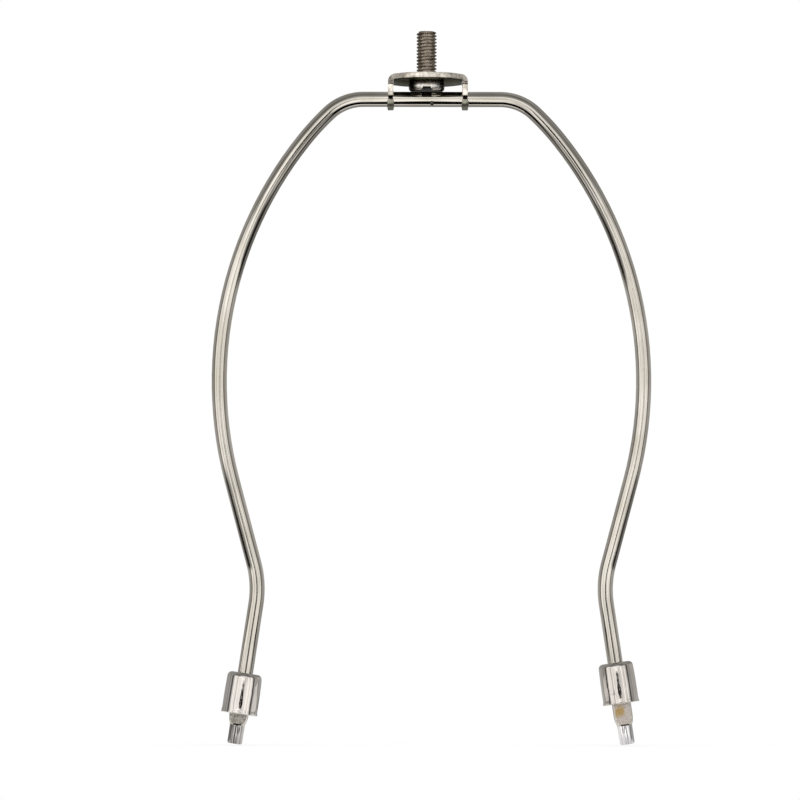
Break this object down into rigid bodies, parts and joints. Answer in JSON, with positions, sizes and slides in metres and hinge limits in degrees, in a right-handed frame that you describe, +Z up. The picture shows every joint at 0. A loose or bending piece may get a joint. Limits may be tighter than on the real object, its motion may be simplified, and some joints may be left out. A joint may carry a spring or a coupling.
{
  "type": "lamp harp",
  "caption": "Bent wire bow with a pivoting threaded top saddle and a sliding ferrule on each leg, that holds a lampshade above its lamp.",
  "frame": {"origin": "bottom centre: midway between the two leg tips, at the height of the tips' lowest point", "axes": "+Z up to the finial stud, X across the bow, -Y the front: the side of the saddle that shows the sheared tab stub"},
  "size_m": [0.125, 0.0238, 0.2032],
  "materials": {
    "bow_nickel": "nickel-plated steel, polished, with fine drawing lines",
    "saddle_nickel": "nickel-plated stamped steel, polished",
    "screw_nickel": "dull nickel-plated steel",
    "ferrule_chrome": "nickel-plated steel, bright"
  },
  "bodies": {
    "bow": {"harp_wire": "bow_nickel"},
    "saddle": {"top_saddle": "saddle_nickel", "finial_stud": "screw_nickel"},
    "left_ferrule": {"left_ferrule": "ferrule_chrome"},
    "right_ferrule": {"right_ferrule": "ferrule_chrome"}
  },
  "joints": [
    {"name": "saddle_swing", "type": "hinge", "parent": "bow", "child": "saddle", "pos_m": [-0.0015, 0, 0.18379], "axis": [1, 0, 0], "continuous": true},
    {"name": "left_ferrule_slide", "type": "slide", "parent": "bow", "child": "left_ferrule", "axis": [0.1487, 0, 0.9889], "range_m": [0, 0.019]},
    {"name": "right_ferrule_slide", "type": "slide", "parent": "bow", "child": "right_ferrule", "axis": [-0.1487, 0, 0.9889], "range_m": [-0.00315, 0.01585]}
  ]
}
